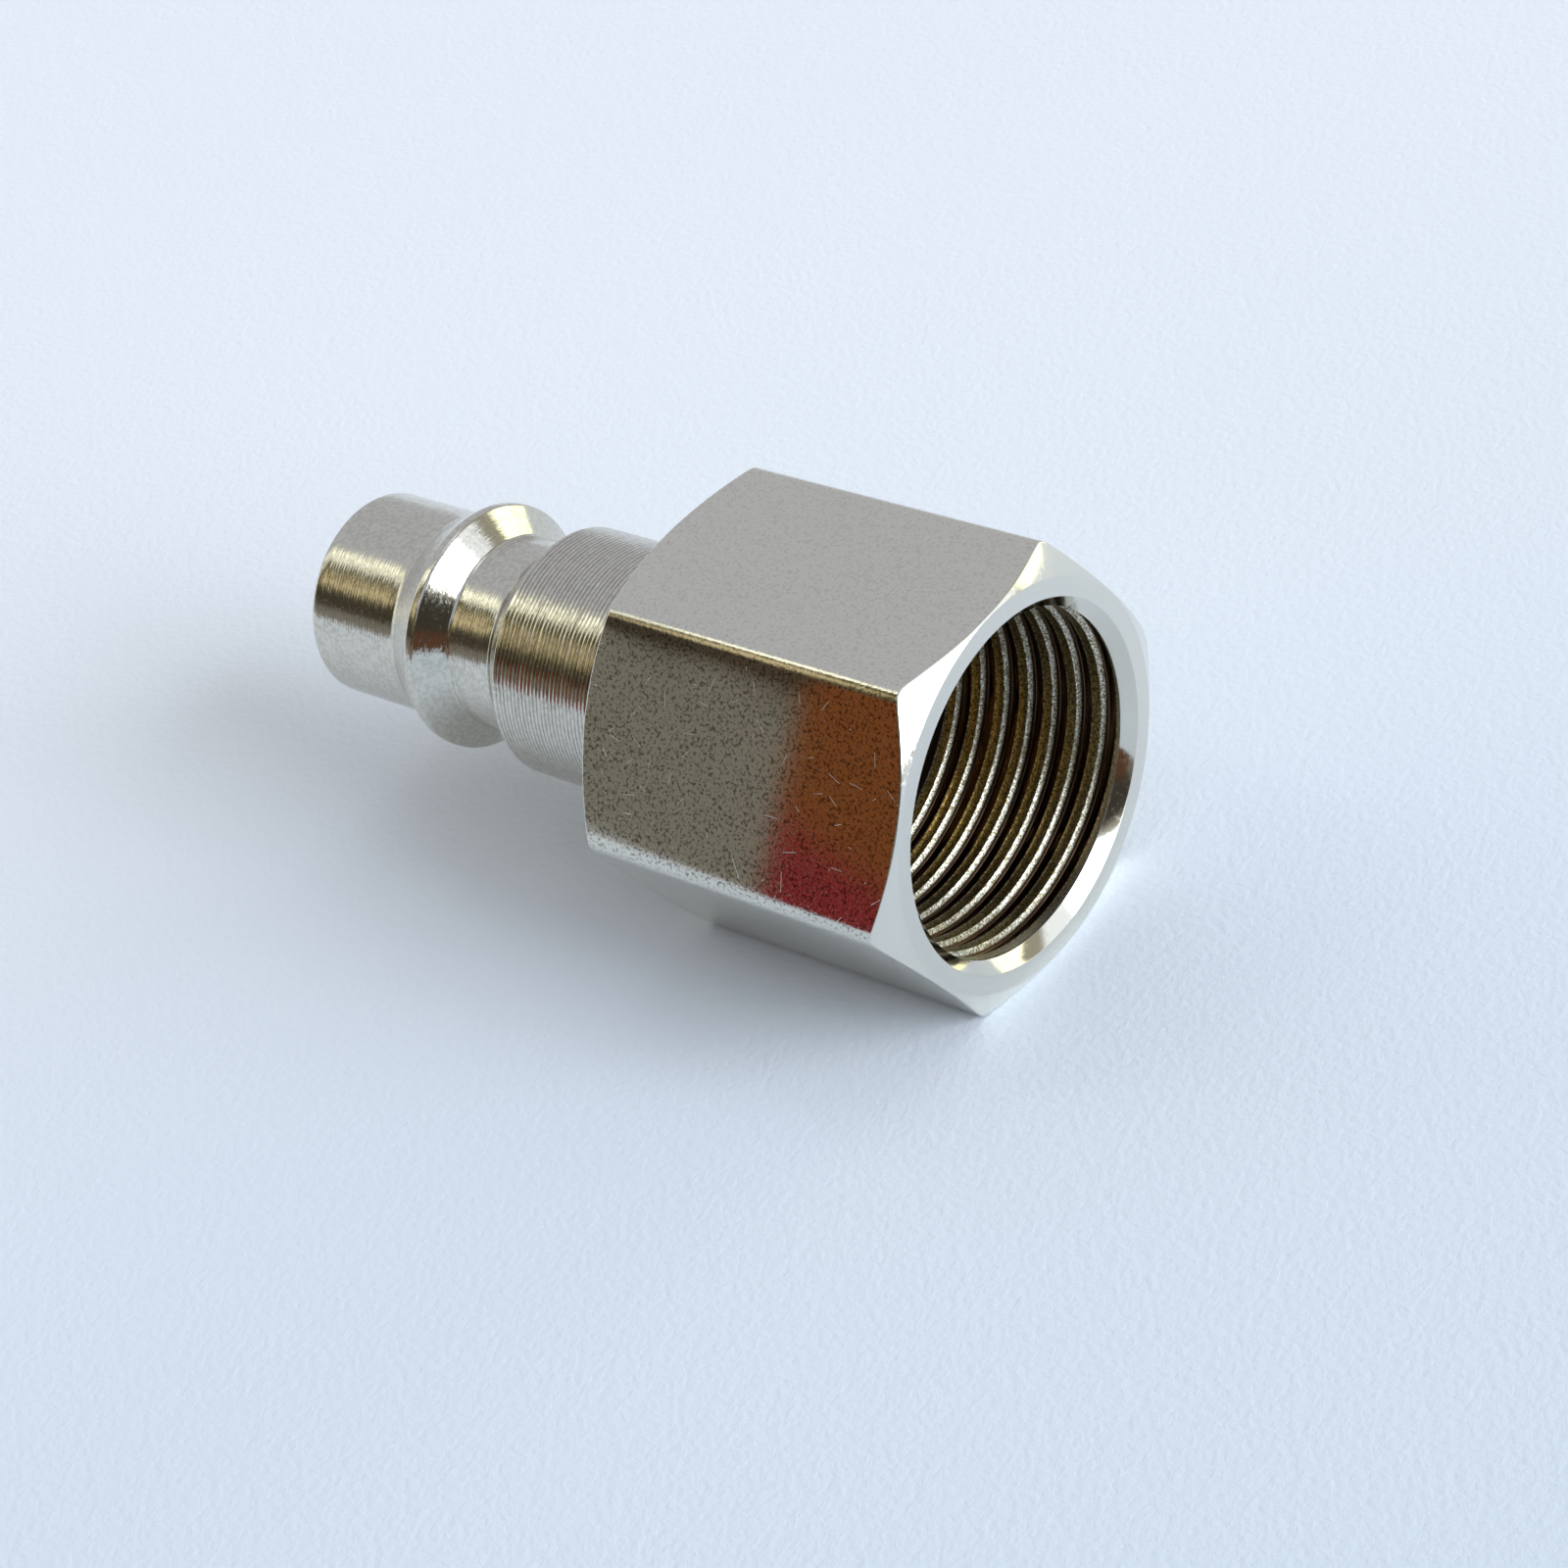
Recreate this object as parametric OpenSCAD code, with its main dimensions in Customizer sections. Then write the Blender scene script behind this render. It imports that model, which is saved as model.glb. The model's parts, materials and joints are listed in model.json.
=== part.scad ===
// Plug half of a quick disconnect air coupling: a hexagonal body with a threaded
// port, a turned plug nose that snaps into a socket, and a spring-loaded shut-off
// valve inside the nose.
//
// Millimetres. The origin is the centre of the port's flat face. +X points out of
// the port, the plug nose points along -X, and +Z is the top flat of the hexagon.

/* [Hexagon body] */
// Width across the flats
hex_af = 19; // [18.6:0.1:24]
// Length of the hexagon
hex_len = 17.4; // [17.2:0.1:19]
// Diameter over the hexagon's blunted corners
hex_corner_dia = 21.74; // [21.5:0.02:21.9]
// Angle of the end chamfers, from the end faces
hex_chamfer_angle = 30; // [20:1:40]
// Diameter of the flat face inside each end chamfer
hex_face_dia = 18.8; // [18:0.1:19]
// Thickness of the step at the nose end of the body
step_len = 1.7; // [1.4:0.1:2.5]

/* [Port thread] */
// Major diameter of the internal pipe thread
thread_major = 16.66; // [16:0.01:17]
// Minor diameter of the internal pipe thread
thread_minor = 15.9; // [15.5:0.05:16]
// Distance from crest to crest
thread_pitch = 1.337; // [1.3:0.001:1.4]
// Number of turns
thread_turns = 8; // [6:1:8]
// Angle between the two sides of a thread
thread_angle = 55; // [50:1:60]
// Diameter of the countersink where it meets the port's face
mouth_dia = 17.02; // [16.8:0.02:17.6]

/* [Plug nose] */
// Diameter of the nose
nose_dia = 10; // [9.9:0.05:10.1]
// Diameter of the locking ridge and of the shoulder behind it
ridge_dia = 12; // [11.9:0.05:12.1]
// Diameter of the locking groove's floor
groove_dia = 9.4; // [9.2:0.1:9.8]
// Length of the whole nose, from the hexagon to the tip
nose_len = 21.3; // [21.3:0.1:24]
// Length of the shoulder, from the hexagon to the groove's edge
shoulder_len = 8.55; // [8.4:0.05:8.7]
// Length of the groove's sloped end beside the shoulder
groove_ramp_len = 1.4; // [1.2:0.1:1.6]
// Distance from the hexagon to the foot of the ridge's locking slope
ridge_foot = 12.6; // [12.4:0.1:12.8]
// Length of the ridge's locking slope
ridge_slope_len = 1.1; // [0.9:0.1:1.2]
// Length of the ridge's cylindrical crest
ridge_crest_len = 0.4; // [0.3:0.05:0.5]
// Length of the lead-in cone in front of the ridge
lead_in_len = 1.75; // [1.5:0.05:2]
// Radius of the rounded edge at the tip
tip_round = 0.45; // [0.2:0.05:0.6]

/* [Valve] */
// Diameter of the air passage through the nose
bore_dia = 7.2; // [7:0.1:7.4]
// Diameter of the chamber that the valve opens into
chamber_dia = 9.6; // [9.4:0.1:9.8]
// Distance from the hexagon to the narrow end of the valve seat
seat_depth = 8.2; // [7.8:0.1:8.2]
// Travel of the valve from shut to open
valve_travel = 3; // [1:0.25:3]
// Diameter of the valve head
head_dia = 8.3; // [8:0.05:8.4]
// Thickness of the rubber ring on the valve head
poppet_seal_wire = 1.2; // [1:0.05:1.2]
// Diameter of the valve's guide stem
stem_dia = 3; // [2.8:0.1:3.2]
// Number of ribs that guide the front of the valve
rib_count = 4; // [3:1:5]
// Thickness of a guide rib
rib_thickness = 0.9; // [0.7:0.1:1.1]
// Diameter of the push pin at the front of the valve
pin_dia = 2.8; // [2.4:0.1:3]
// Radial running clearance of everything that slides
running_gap = 0.05; // [0.03:0.01:0.08]

/* [Spring] */
// Mean diameter of the spring's coils
spring_dia = 5.8; // [5.6:0.1:6]
// Diameter of the spring's wire
spring_wire = 0.6; // [0.5:0.05:0.65]
// Number of working turns between the closed end turns
spring_turns = 3.6; // [3:0.2:4]

/* [Valve holder] */
// Diameter of the bore that holds the nose's flange and the spring seat
holder_bore = 14.5; // [14.4:0.05:14.6]
// Length of the nose's flange
flange_len = 2.3; // [2.2:0.05:2.4]
// Thickness of the rubber ring between the nose and the body
body_seal_wire = 1.2; // [1.1:0.05:1.2]
// Thickness of the spring seat
seat_plate = 0.8; // [0.7:0.05:0.9]
// Thickness of the retaining ring
ring_thickness = 1; // [0.8:0.05:1]
// Number of spokes in the spring seat
spoke_count = 3; // [3:1:4]

/* [Hidden] */

$fn = 96;
EPS = 0.01;
REST_GAP = 0.03;        // gap left between a rubber ring and what it seals against
OVERCUT = 1;            // how far a cut runs past the face it opens

// Stations along the axis, from the port's face towards the tip
x_hex_end = -hex_len;
x_flange_front = x_hex_end + step_len;
x_flange_rear = x_flange_front + flange_len;
x_seat_plate = x_flange_rear + seat_plate;
ring_groove_len = ring_thickness + 0.1;
x_ring_groove = x_seat_plate + ring_groove_len;
x_tip = x_hex_end - nose_len;
x_seat_narrow = x_hex_end - seat_depth;
x_seat_wide = x_seat_narrow + (chamber_dia - bore_dia) / 2;

// Thread form, cut as a row of grooves
thread_depth = (thread_major - thread_minor) / 2;
flank_len = thread_depth * tan(thread_angle / 2);
root_flat = thread_pitch / 8;
groove_len = 2 * flank_len + root_flat;
ring_groove_dia = thread_major + 0.14;

// Flange, spring seat and the ring that holds them in
flange_dia = holder_bore - 0.1;
pilot_dia = ridge_dia + 0.4;
pilot_clearance = 0.03;
ring_outer_dia = ring_groove_dia - 0.2;
ring_inner_dia = 13.1;
ring_offset = 0.3;
lug_r = 1.05;
lug_hole_r = 0.45;
lug_angle = 19;
ring_gap = 2.6;
ring_play = 0.05;
window_dia = 9.5;
hub_dia = 4.8;
hub_len = 2;
spring_land_dia = spring_dia + spring_wire + 0.2;
spoke_width = 1.3;
spoke_start = 50;

// Poppet, from its front to its back
x_head_back = x_seat_narrow + 3.2;
lip_dia = bore_dia - 0.2;
lip_len = 0.7;
x_pin_front = x_tip + 1.1;
x_tail_end = x_flange_rear + 0.2;
x_hub_front = x_flange_rear - hub_len;
x_stop = x_hub_front - valve_travel - running_gap;
stop_dia = 4.4;

// A rubber ring in the poppet's groove, set so that it just clears the seat's cone
poppet_seal_r = poppet_seal_wire / 2;
poppet_seal_mean = head_dia / 2 - 0.4;
x_poppet_seal = poppet_seal_mean - bore_dia / 2 + x_seat_narrow
              + (poppet_seal_r + REST_GAP) * sqrt(2);
x_groove_front = x_poppet_seal - poppet_seal_r - REST_GAP;
x_groove_back = x_poppet_seal + poppet_seal_r + REST_GAP;
x_lip_front = x_groove_front - lip_len;
rib_len = 7;
rib_chamfer = 0.9;
rib_start = 45;
x_ribs_front = x_lip_front - rib_len;

// A rubber ring in the flange's groove, between the groove's floor and the bore
body_seal_floor = holder_bore / 2 - body_seal_wire - 2 * REST_GAP;
body_seal_mean = body_seal_floor + REST_GAP + body_seal_wire / 2;
x_body_seal = (x_flange_front + x_flange_rear) / 2;
body_seal_groove = body_seal_wire + 0.2;

// Spring
spring_r = spring_dia / 2;
wire_r = spring_wire / 2;
x_spring_front = x_head_back;
x_spring_rear = x_flange_rear;
END_TURNS = 1;
COIL_STEPS = 24;
WIRE_SIDES = 10;

// Turns a profile of [radius, x] points about the X axis
module turned(profile) {
    rotate([0, 90, 0])
        rotate_extrude()
            polygon(profile);
}

// A ring of round section about the X axis
module rubber_ring(x, mean_r, wire_r) {
    translate([x, 0, 0])
        rotate([0, 90, 0])
            rotate_extrude()
                translate([mean_r, 0])
                    circle(r = wire_r, $fn = 48);
}

// A plain cylinder along the X axis, from one station to the next
module rod(x_from, x_to, dia) {
    translate([x_from, 0, 0])
        rotate([0, 90, 0])
            cylinder(d = dia, h = x_to - x_from);
}

// Points along an arc in a [radius, x] profile
function arc(centre, r, from, to, steps = 6) =
    [for (i = [0:steps]) let (a = from + (to - from) * i / steps)
        centre + r * [cos(a), sin(a)]];

// Outline of one thread groove, the k-th from the port's face
function thread_groove(k) =
    let (x = -(k + 0.5) * thread_pitch)
    [[thread_minor / 2, x + groove_len / 2],
     [thread_major / 2, x + root_flat / 2],
     [thread_major / 2, x - root_flat / 2],
     [thread_minor / 2, x - groove_len / 2]];

// The hexagonal bar with both ends chamfered and its corners blunted
module hex_bar() {
    face_r = hex_face_dia / 2;
    corner_r = hex_corner_dia / 2;
    chamfer_len = (corner_r - face_r) * tan(hex_chamfer_angle);
    intersection() {
        rotate([0, 90, 0])
            translate([0, 0, -hex_len])
                rotate(30)
                    cylinder(d = hex_af / cos(30), h = hex_len, $fn = 6);
        turned([[0, 0], [face_r, 0], [corner_r, -chamfer_len],
                [corner_r, x_hex_end + chamfer_len], [face_r, x_hex_end], [0, x_hex_end]]);
    }
}

// What is bored out of the hexagonal bar
module hex_bores() {
    turned(concat(
        [[0, OVERCUT], [thread_minor / 2, OVERCUT]],
        [for (k = [0:thread_turns - 1]) each thread_groove(k)],
        [[thread_minor / 2, x_ring_groove], [ring_groove_dia / 2, x_ring_groove],
         [ring_groove_dia / 2, x_seat_plate], [holder_bore / 2, x_seat_plate],
         [holder_bore / 2, x_flange_front], [0, x_flange_front]]));
    turned([[0, OVERCUT], [mouth_dia / 2 + OVERCUT, OVERCUT],
            [0, -mouth_dia / 2]]);
    rod(x_hex_end - OVERCUT, x_flange_front + OVERCUT, pilot_dia + 2 * pilot_clearance);
}

module hex_body() {
    color([0.72, 0.70, 0.66])
        difference() {
            hex_bar();
            hex_bores();
        }
}

// Outside of the nose, from the flange forward to the tip
function nose_outside() =
    let (crest_r = ridge_dia / 2,
         floor_r = groove_dia / 2,
         nose_r = nose_dia / 2,
         x_shoulder = x_hex_end - shoulder_len,
         x_foot = x_hex_end - ridge_foot,
         x_crest = x_foot - ridge_slope_len,
         x_lead = x_crest - ridge_crest_len,
         floor = body_seal_floor,
         half = body_seal_groove / 2)
    concat(
        [[flange_dia / 2, x_flange_rear],
         [flange_dia / 2, x_body_seal + half], [floor, x_body_seal + half],
         [floor, x_body_seal - half], [flange_dia / 2, x_body_seal - half],
         [flange_dia / 2, x_flange_front],
         [pilot_dia / 2, x_flange_front], [pilot_dia / 2, x_hex_end],
         [crest_r, x_hex_end], [crest_r, x_shoulder],
         [floor_r, x_shoulder - groove_ramp_len], [floor_r, x_foot],
         [crest_r, x_crest], [crest_r, x_lead],
         [nose_r, x_lead - lead_in_len]],
        arc([nose_r - tip_round, x_tip + tip_round], tip_round, 0, -90));

// Inside of the nose, from the tip back to the flange
function nose_inside() =
    let (bore_r = bore_dia / 2,
         mouth_flare = 0.45)
    [[bore_r + mouth_flare, x_tip], [bore_r, x_tip + mouth_flare],
     [bore_r, x_seat_narrow], [chamber_dia / 2, x_seat_wide],
     [chamber_dia / 2, x_flange_rear]];

module plug_nose() {
    color([0.74, 0.71, 0.66])
        turned(concat(nose_outside(), nose_inside()));
}

module body_seal() {
    color([0.09, 0.09, 0.09])
        rubber_ring(x_body_seal, body_seal_mean, body_seal_wire / 2);
}

// The turned blank of the valve: push pin, guide, lip, seal groove, head and tail
function poppet_profile() =
    let (head_r = head_dia / 2,
         lip_r = lip_dia / 2,
         floor_r = poppet_seal_mean - poppet_seal_r - 0.02,
         pin_r = pin_dia / 2,
         pin_round = 0.6)
    concat(
        [[0, x_pin_front]],
        arc([pin_r - pin_round, x_pin_front + pin_round], pin_round, -90, 0),
        [[pin_r, x_lip_front], [lip_r - 0.3, x_lip_front], [lip_r, x_lip_front + 0.3],
         [lip_r, x_groove_front], [floor_r, x_groove_front],
         [floor_r, x_groove_back], [head_r, x_groove_back], [head_r, x_head_back],
         [stop_dia / 2, x_head_back], [stop_dia / 2, x_stop],
         [stem_dia / 2, x_stop], [stem_dia / 2, x_tail_end - 0.3],
         [stem_dia / 2 - 0.3, x_tail_end], [0, x_tail_end]]);

// The ribs that keep the front of the valve central in the bore
module guide_ribs() {
    guide_r = bore_dia / 2 - running_gap;
    x_back = x_lip_front + EPS;
    intersection() {
        turned([[0, x_ribs_front], [guide_r - rib_chamfer, x_ribs_front],
                [guide_r, x_ribs_front + rib_chamfer], [guide_r, x_back], [0, x_back]]);
        for (i = [0:rib_count - 1])
            rotate([i * 360 / rib_count + rib_start, 0, 0])
                translate([x_ribs_front, 0, -rib_thickness / 2])
                    cube([rib_len + EPS, bore_dia, rib_thickness]);
    }
}

module poppet() {
    color([0.80, 0.66, 0.36])
        union() {
            turned(poppet_profile());
            guide_ribs();
        }
}

module poppet_seal() {
    color([0.09, 0.09, 0.09])
        rubber_ring(x_poppet_seal, poppet_seal_mean, poppet_seal_r);
}

// Height of the coil's centre line above its first end, after a number of turns.
// The first and last turns are closed, and the turns between them are open.
function coil_rise(turn, length) =
    let (closed = spring_wire * 1.06,
         open = (length - spring_wire - 2 * END_TURNS * closed) / spring_turns)
    turn <= END_TURNS ? turn * closed
    : turn <= END_TURNS + spring_turns ? END_TURNS * closed + (turn - END_TURNS) * open
    : END_TURNS * closed + spring_turns * open + (turn - END_TURNS - spring_turns) * closed;

// The ring of points around the wire, after a number of turns
function coil_section(turn, length) =
    [for (s = [0:WIRE_SIDES - 1])
        let (a = 360 * s / WIRE_SIDES,
             r = spring_r + wire_r * cos(a),
             around = 360 * turn)
        [wire_r + coil_rise(turn, length) + wire_r * sin(a), r * cos(around), r * sin(around)]];

module coil(length) {
    turns = spring_turns + 2 * END_TURNS;
    steps = round(turns * COIL_STEPS);
    points = [for (i = [0:steps]) each coil_section(turns * i / steps, length)];
    last = steps * WIRE_SIDES;
    sides = [for (i = [0:steps - 1], s = [0:WIRE_SIDES - 1])
        let (a = i * WIRE_SIDES + s,
             b = i * WIRE_SIDES + (s + 1) % WIRE_SIDES)
        [a, b, b + WIRE_SIDES, a + WIRE_SIDES]];
    ends = [[for (s = [WIRE_SIDES - 1:-1:0]) s],
            [for (s = [0:WIRE_SIDES - 1]) last + s]];
    polyhedron(points = points, faces = concat(sides, ends), convexity = 8);
}

module valve_spring() {
    color([0.62, 0.62, 0.63])
        translate([x_spring_front + EPS, 0, 0])
            coil(x_spring_rear - x_spring_front - 2 * EPS);
}

// The windows that let air through the spring seat, parted by the spokes
module seat_windows() {
    window_len = seat_plate + 2 * OVERCUT;
    difference() {
        rod(x_flange_rear - OVERCUT, x_seat_plate + OVERCUT, window_dia);
        rod(x_flange_rear - 2 * OVERCUT, x_seat_plate + 2 * OVERCUT, spring_land_dia);
        for (i = [0:spoke_count - 1])
            rotate([i * 360 / spoke_count + spoke_start, 0, 0])
                translate([x_flange_rear - 2 * OVERCUT, 0, -spoke_width / 2])
                    cube([window_len + 2 * OVERCUT, window_dia, spoke_width]);
    }
}

// A perforated plate with a hub that guides the valve's tail
module spring_seat() {
    hole_r = stem_dia / 2 + running_gap;
    color([0.80, 0.66, 0.36])
        difference() {
            turned([[hole_r, x_hub_front], [hub_dia / 2, x_hub_front],
                    [hub_dia / 2, x_flange_rear], [flange_dia / 2, x_flange_rear],
                    [flange_dia / 2, x_seat_plate], [hole_r, x_seat_plate]]);
            seat_windows();
        }
}

// An open spring ring with two drilled lugs for the pliers
module retaining_ring() {
    lug_at = ring_inner_dia / 2 - 0.35;
    color([0.33, 0.33, 0.34])
        translate([x_seat_plate + ring_play, 0, 0])
            rotate([0, 90, 0])
                difference() {
                    union() {
                        difference() {
                            cylinder(d = ring_outer_dia, h = ring_thickness);
                            translate([-ring_offset, 0, -EPS])
                                cylinder(d = ring_inner_dia, h = ring_thickness + 2 * EPS);
                            translate([-ring_outer_dia, -ring_gap / 2, -EPS])
                                cube([ring_outer_dia, ring_gap, ring_thickness + 2 * EPS]);
                        }
                        for (side = [-1, 1])
                            rotate(180 + side * lug_angle)
                                translate([lug_at, 0, 0])
                                    cylinder(r = lug_r, h = ring_thickness);
                    }
                    for (side = [-1, 1])
                        rotate(180 + side * lug_angle)
                            translate([lug_at, 0, -EPS])
                                cylinder(r = lug_hole_r, h = ring_thickness + 2 * EPS);
                }
}

hex_body();
plug_nose();
body_seal();
poppet();
poppet_seal();
valve_spring();
spring_seat();
retaining_ring();
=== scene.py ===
"""Looks of the plug half of a quick disconnect air coupling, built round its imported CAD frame.

Outlines are written in millimetres as (x, r) points about the X axis, and meshes are made in metres.
Angles round the axis run from +Y towards +Z.
"""

import json
import math

import bpy
import bmesh
import numpy as np
from mathutils import Matrix, Vector


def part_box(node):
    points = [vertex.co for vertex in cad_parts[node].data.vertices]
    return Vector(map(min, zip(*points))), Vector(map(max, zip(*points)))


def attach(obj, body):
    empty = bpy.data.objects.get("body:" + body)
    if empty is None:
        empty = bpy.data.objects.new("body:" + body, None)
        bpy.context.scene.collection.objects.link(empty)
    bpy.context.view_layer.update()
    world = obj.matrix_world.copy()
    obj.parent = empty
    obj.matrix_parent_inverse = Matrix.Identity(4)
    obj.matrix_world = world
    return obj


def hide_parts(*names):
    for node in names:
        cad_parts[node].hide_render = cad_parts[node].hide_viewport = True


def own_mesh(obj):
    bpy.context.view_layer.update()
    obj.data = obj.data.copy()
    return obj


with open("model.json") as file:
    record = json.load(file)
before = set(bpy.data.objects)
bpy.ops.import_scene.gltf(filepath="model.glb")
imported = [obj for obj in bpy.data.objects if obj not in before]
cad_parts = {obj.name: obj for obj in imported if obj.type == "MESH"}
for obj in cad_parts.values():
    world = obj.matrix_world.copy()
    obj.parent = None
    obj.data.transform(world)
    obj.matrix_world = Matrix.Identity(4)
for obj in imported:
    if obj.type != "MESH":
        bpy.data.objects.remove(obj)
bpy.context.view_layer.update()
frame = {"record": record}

MM = 0.001


def node_box(node):
    """Lowest and highest corner of a CAD node, in millimetres."""
    low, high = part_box(node)
    return low / MM, high / MM


# Sizes taken from the frame, in millimetres
hex_low, hex_high = node_box("hex_body")
nose_low, nose_high = node_box("plug_nose")
poppet_low, poppet_high = node_box("poppet")
spring_low, spring_high = node_box("valve_spring")
seat_low, seat_high = node_box("spring_seat")
ring_low, ring_high = node_box("retaining_ring")
mounts = {m["name"]: m for m in frame["record"]["mounts"]}

X_HEX_END = hex_low.x
FLAT_R = hex_high.z
CORNER_R = hex_high.y
X_TIP = nose_low.x
X_FLANGE_REAR = nose_high.x
FLANGE_R = nose_high.y
NOSE_R = mounts["plug_nose_tip"]["dims"]["r_mm"]
RIDGE_R = mounts["plug_shoulder"]["dims"]["r_mm"]
SHOULDER_LEN = mounts["plug_shoulder"]["dims"]["length_mm"]
THREAD_MINOR_R = mounts["port_thread"]["dims"]["r_mm"]

# Hexagon body
FACE_R = 9.4
CHAMFER_SLOPE = math.tan(math.radians(30))
FLAT_COLUMNS = 80
# The blunted corners' radius, how tightly the edges beside them are rounded, and how far the flats
# roll off towards their edges
BLUNT_R = CORNER_R - 0.04
EDGE_SHARPNESS = 180
ROLL_OFF = 0.05
EDGE_ROUND = 0.12
FACE_EDGE_ROUND = 0.05
STEP_LEN = 1.7
HOLDER_BORE_R = FLANGE_R + 0.05
PILOT_BORE_R = RIDGE_R + 0.23

# Port thread
THREAD_MAJOR_R = 8.33
THREAD_PITCH = 1.337
THREAD_HALF_ANGLE = math.radians(27.5)
ROOT_HALF = 0.22
THREAD_STEPS = 192
# Place of one groove's centre, and the angle round the axis at which it is there
THREAD_X = -1.31
THREAD_AT = math.radians(-50)
MOUTH_R = 8.51
RING_GROOVE_R = 8.4
# Where the groove starts, and the length over which it gets to its full depth
X_THREAD_START = -0.5
THREAD_FADE = 0.8
# How far the groove's cutter stays inside the crests beside the groove
LIP_GAP = 0.004
# Half the thread groove's width at the crests
GROOVE_HALF = ROOT_HALF + (THREAD_MAJOR_R - THREAD_MINOR_R) * math.tan(THREAD_HALF_ANGLE)
X_RING_GROOVE = ring_high.x + 0.05
X_SEAT_PLATE = ring_low.x - 0.05

# Plug nose
GROOVE_R = RIDGE_R - 1.3
X_SHOULDER = X_HEX_END - SHOULDER_LEN
X_RAMP_FOOT = X_SHOULDER - 1.4
X_RIDGE_FOOT = X_HEX_END - 12.6
X_CREST = X_RIDGE_FOOT - 1.1
X_LEAD = X_CREST - 0.4
X_NOSE = X_LEAD - 1.75
BORE_R = 3.6
CHAMBER_R = 4.8
X_SEAT_NARROW = X_HEX_END - 8.2
X_SEAT_WIDE = X_SEAT_NARROW + CHAMBER_R - BORE_R
X_FLANGE_FRONT = X_HEX_END + STEP_LEN
PILOT_R = RIDGE_R + 0.2
NOSE_SIDES = 256
# Where the coarse lathe marks of the shoulder start and end, and their spacing
SHOULDER_MARKS = (X_HEX_END - 0.02, X_SHOULDER + 0.12)
MARK_FEED = 0.23

# Camera, in metres and degrees
CAMERA_AIM = Vector((-0.0124, -0.0023, -0.0020))
CAMERA_DISTANCE = 0.176
CAMERA_AZIMUTH = 47.28
CAMERA_ELEVATION = 38.86
CAMERA_ROLL = -16.64
CAMERA_LENS = 89.4


# ---------------------------------------------------------------- meshes


def rounded(corners, steps=4):
    """Points of an outline whose (x, r, radius) corners are turned into arcs. Its two ends stay sharp."""
    points = []
    for i, (x, r, radius) in enumerate(corners):
        corner = np.array((x, r), float)
        if radius == 0 or i in (0, len(corners) - 1):
            points.append(corner)
            continue
        back = np.array(corners[i - 1][:2], float) - corner
        on = np.array(corners[i + 1][:2], float) - corner
        room = 0.45 * min(np.linalg.norm(back), np.linalg.norm(on))
        back /= np.linalg.norm(back)
        on /= np.linalg.norm(on)
        half = math.acos(float(np.clip(back @ on, -1, 1))) / 2
        reach = min(radius / math.tan(half), room)
        start, end = corner + back * reach, corner + on * reach
        bisector = (back + on) / np.linalg.norm(back + on)
        centre = corner + bisector * reach / math.cos(half)
        a, b = start - centre, end - centre
        turn = math.acos(float(np.clip(a @ b / (a @ a), -1, 1)))
        for s in range(steps + 1):
            t = s / steps
            along = (math.sin((1 - t) * turn) * a + math.sin(t * turn) * b) / math.sin(turn)
            points.append(centre + along)
    return points


def tool_marks(x_from, x_to, radius, feed, depth, steps=6):
    """Outline points of a turned cylinder: shallow round furrows, one for each turn of the lathe."""
    count = max(1, round(abs(x_to - x_from) / feed))
    points = []
    for i in range(count):
        deep = depth * (0.8 + 0.2 * math.sin(2.4 * i) + 0.12 * math.sin(0.7 * i))
        for j in range(steps):
            u = j / steps
            x = x_from + (x_to - x_from) * (i + u) / count
            points.append((x, radius - deep * (1 - (2 * u - 1) ** 2), 0))
    points.append((x_to, radius, 0))
    return points


def new_object(name, vertices, faces):
    """A closed mesh object with its normals facing out, from vertices in millimetres."""
    mesh = bpy.data.meshes.new(name)
    mesh.from_pydata([Vector(v) * MM for v in vertices], [], faces)
    bm = bmesh.new()
    bm.from_mesh(mesh)
    bmesh.ops.recalc_face_normals(bm, faces=bm.faces)
    bm.to_mesh(mesh)
    bm.free()
    obj = bpy.data.objects.new(name, mesh)
    bpy.context.scene.collection.objects.link(obj)
    return obj


def smooth(obj, angle=32):
    """Shades a mesh smooth, apart from edges sharper than the angle."""
    obj.data.shade_smooth()
    obj.data.set_sharp_from_angle(angle=math.radians(angle))


def turned(name, outline, sides=NOSE_SIDES, loop=True):
    """A solid turned about the X axis from (x, r) points. With loop off, both ends lie on the axis."""
    vertices, rows = [], []
    for x, r in outline:
        first = len(vertices)
        if r < 1e-6:
            vertices.append((x, 0, 0))
            rows.append([first] * sides)
            continue
        for s in range(sides):
            a = 2 * math.pi * s / sides
            vertices.append((x, r * math.cos(a), r * math.sin(a)))
        rows.append(list(range(first, first + sides)))
    pairs = list(zip(rows, rows[1:] + rows[:1])) if loop else list(zip(rows, rows[1:]))
    faces = []
    for low, high in pairs:
        for s in range(sides):
            t = (s + 1) % sides
            ring = [low[s], low[t], high[t], high[s]]
            faces.append([v for i, v in enumerate(ring) if v not in ring[:i]])
    return new_object(name, vertices, faces)


def combine(target, tool, operation="DIFFERENCE"):
    """Applies an exact boolean of the tool to the target, and deletes the tool."""
    modifier = target.modifiers.new("boolean", "BOOLEAN")
    modifier.operation = operation
    modifier.solver = "EXACT"
    modifier.object = tool
    graph = bpy.context.evaluated_depsgraph_get()
    result = bpy.data.meshes.new_from_object(target.evaluated_get(graph))
    target.modifiers.clear()
    target.data = result
    bpy.data.objects.remove(tool)
    return target


def box_solid(name, low, high):
    """A plain block, used only as a cutter or to join to a turned part."""
    corners = [(x, y, z) for x in (low[0], high[0]) for y in (low[1], high[1]) for z in (low[2], high[2])]
    faces = [(0, 1, 3, 2), (4, 6, 7, 5), (0, 4, 5, 1), (2, 3, 7, 6), (0, 2, 6, 4), (1, 5, 7, 3)]
    return new_object(name, corners, faces)


def spin(obj, degrees):
    """Turns a mesh about the X axis."""
    obj.data.transform(Matrix.Rotation(math.radians(degrees), 4, "X"))
    return obj


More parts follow.
